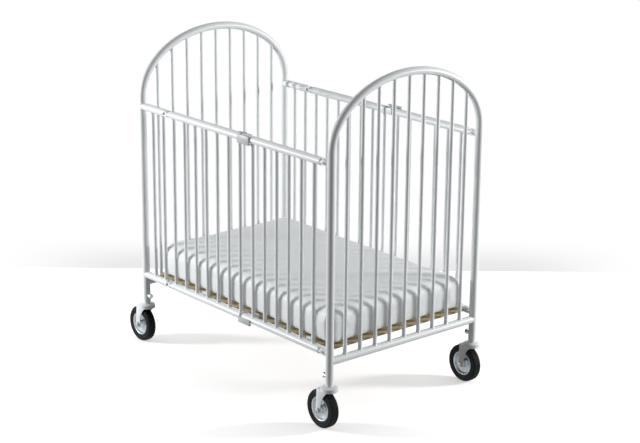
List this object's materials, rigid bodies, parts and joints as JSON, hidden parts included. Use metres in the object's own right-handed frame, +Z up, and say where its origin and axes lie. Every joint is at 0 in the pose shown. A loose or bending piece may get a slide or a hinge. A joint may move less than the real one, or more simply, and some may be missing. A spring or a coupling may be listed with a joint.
{
  "type": "folding steel crib on casters",
  "caption": "Folding white steel crib on casters: arched spindle ends, long sides hinged at mid-rail, swing-up deck board and padded mattress.",
  "frame": {"origin": "on the floor, under the middle of the whole crib's box", "axes": "+X along the crib from the winged end A towards end B, +Y from the near long side to the far one, +Z up"},
  "size_m": [1.12, 0.678, 1.1097],
  "materials": {
    "white_powder_coat": "semi-gloss white powder coat",
    "grey_coat": "satin light grey paint",
    "zinc_steel": "bright zinc plate",
    "black_rubber": "moulded black rubber",
    "hardboard": "raw tempered hardboard",
    "vinyl_cover": "pale grey coated fabric"
  },
  "bodies": {
    "end_a": {"end_a_hoop": "white_powder_coat", "end_a_grille": "white_powder_coat", "near_wing": "white_powder_coat", "near_upper_wing_pin": "white_powder_coat", "near_lower_wing_pin": "white_powder_coat", "far_wing": "white_powder_coat", "far_upper_wing_pin": "white_powder_coat", "far_lower_wing_pin": "white_powder_coat", "deck_pivot_rod": "zinc_steel", "near_a_clamp_bolt": "zinc_steel", "near_a_caster_stem": "white_powder_coat", "far_a_clamp_bolt": "zinc_steel", "far_a_caster_stem": "white_powder_coat"},
    "near_left": {"near_left_panel": "white_powder_coat", "near_upper_hinge_pin": "zinc_steel", "near_lower_hinge_pin": "zinc_steel"},
    "near_right": {"near_right_panel": "white_powder_coat", "near_upper_saddle": "grey_coat", "near_lower_saddle": "grey_coat"},
    "end_b": {"end_b_hoop": "white_powder_coat", "end_b_grille": "white_powder_coat", "near_upper_end_pin": "white_powder_coat", "near_lower_end_pin": "white_powder_coat", "far_upper_end_pin": "white_powder_coat", "far_lower_end_pin": "white_powder_coat", "near_b_clamp_bolt": "zinc_steel", "near_b_caster_stem": "white_powder_coat", "far_b_clamp_bolt": "zinc_steel", "far_b_caster_stem": "white_powder_coat"},
    "far_left": {"far_left_panel": "white_powder_coat", "far_upper_hinge_pin": "zinc_steel", "far_lower_hinge_pin": "zinc_steel"},
    "far_right": {"far_right_panel": "white_powder_coat", "far_upper_saddle": "grey_coat", "far_lower_saddle": "grey_coat"},
    "deck": {"near_deck_strap": "zinc_steel", "far_deck_strap": "zinc_steel", "deck_bar_1": "white_powder_coat", "deck_bar_2": "white_powder_coat", "deck_bar_3": "white_powder_coat", "deck_board": "hardboard", "mattress": "vinyl_cover"},
    "near_a_fork": {"near_a_caster_fork": "white_powder_coat", "near_a_axle_bolt": "zinc_steel"},
    "near_a_wheel": {"near_a_wheel_rim": "zinc_steel", "near_a_tyre": "black_rubber"},
    "far_a_fork": {"far_a_caster_fork": "white_powder_coat", "far_a_axle_bolt": "zinc_steel"},
    "far_a_wheel": {"far_a_wheel_rim": "zinc_steel", "far_a_tyre": "black_rubber"},
    "near_b_fork": {"near_b_caster_fork": "white_powder_coat", "near_b_axle_bolt": "zinc_steel"},
    "near_b_wheel": {"near_b_wheel_rim": "zinc_steel", "near_b_tyre": "black_rubber"},
    "far_b_fork": {"far_b_caster_fork": "white_powder_coat", "far_b_axle_bolt": "zinc_steel"},
    "far_b_wheel": {"far_b_wheel_rim": "zinc_steel", "far_b_tyre": "black_rubber"}
  },
  "joints": [
    {"name": "side_fold", "type": "hinge", "parent": "end_a", "child": "near_left", "pos_m": [-0.31425, -0.31, 0.554], "axis": [0, 0, -1], "range_deg": [0, 88]},
    {"name": "near_mid_hinge", "type": "hinge", "parent": "near_left", "child": "near_right", "pos_m": [0.09175, -0.2948, 0.554], "axis": [0, 0, 1], "range_deg": [0, 176]},
    {"name": "near_end_hinge", "type": "hinge", "parent": "near_right", "child": "end_b", "pos_m": [0.49775, -0.31, 0.554], "axis": [0, 0, -1], "range_deg": [0, 88]},
    {"name": "far_fold", "type": "hinge", "parent": "end_a", "child": "far_left", "pos_m": [-0.31425, 0.31, 0.554], "axis": [0, 0, 1], "range_deg": [0, 88]},
    {"name": "far_mid_hinge", "type": "hinge", "parent": "far_left", "child": "far_right", "pos_m": [0.09175, 0.2948, 0.554], "axis": [0, 0, -1], "range_deg": [0, 176]},
    {"name": "deck_lift", "type": "hinge", "parent": "end_a", "child": "deck", "pos_m": [-0.25925, 0, 0.248], "axis": [0, -1, 0], "range_deg": [0, 88]},
    {"name": "near_a_swivel", "type": "hinge", "parent": "end_a", "child": "near_a_fork", "pos_m": [-0.46425, -0.31, 0.1325], "axis": [0, 0, 1], "continuous": true},
    {"name": "near_a_wheel_spin", "type": "hinge", "parent": "near_a_fork", "child": "near_a_wheel", "pos_m": [-0.49425, -0.31, 0.0635], "axis": [0, 1, 0], "continuous": true},
    {"name": "far_a_swivel", "type": "hinge", "parent": "end_a", "child": "far_a_fork", "pos_m": [-0.46425, 0.31, 0.1325], "axis": [0, 0, 1], "continuous": true},
    {"name": "far_a_wheel_spin", "type": "hinge", "parent": "far_a_fork", "child": "far_a_wheel", "pos_m": [-0.49425, 0.31, 0.0635], "axis": [0, 1, 0], "continuous": true},
    {"name": "near_b_swivel", "type": "hinge", "parent": "end_b", "child": "near_b_fork", "pos_m": [0.52875, -0.31, 0.1325], "axis": [0, 0, 1], "continuous": true},
    {"name": "near_b_wheel_spin", "type": "hinge", "parent": "near_b_fork", "child": "near_b_wheel", "pos_m": [0.49875, -0.31, 0.0635], "axis": [0, 1, 0], "continuous": true},
    {"name": "far_b_swivel", "type": "hinge", "parent": "end_b", "child": "far_b_fork", "pos_m": [0.52875, 0.31, 0.1325], "axis": [0, 0, 1], "continuous": true},
    {"name": "far_b_wheel_spin", "type": "hinge", "parent": "far_b_fork", "child": "far_b_wheel", "pos_m": [0.49875, 0.31, 0.0635], "axis": [0, 1, 0], "continuous": true}
  ],
  "couplings": [
    {"joint": "near_mid_hinge", "follows": "side_fold", "ratio": 2},
    {"joint": "near_end_hinge", "follows": "side_fold", "ratio": 1},
    {"joint": "far_fold", "follows": "side_fold", "ratio": 1},
    {"joint": "far_mid_hinge", "follows": "side_fold", "ratio": 2},
    {"joint": "deck_lift", "follows": "side_fold", "ratio": 1}
  ]
}
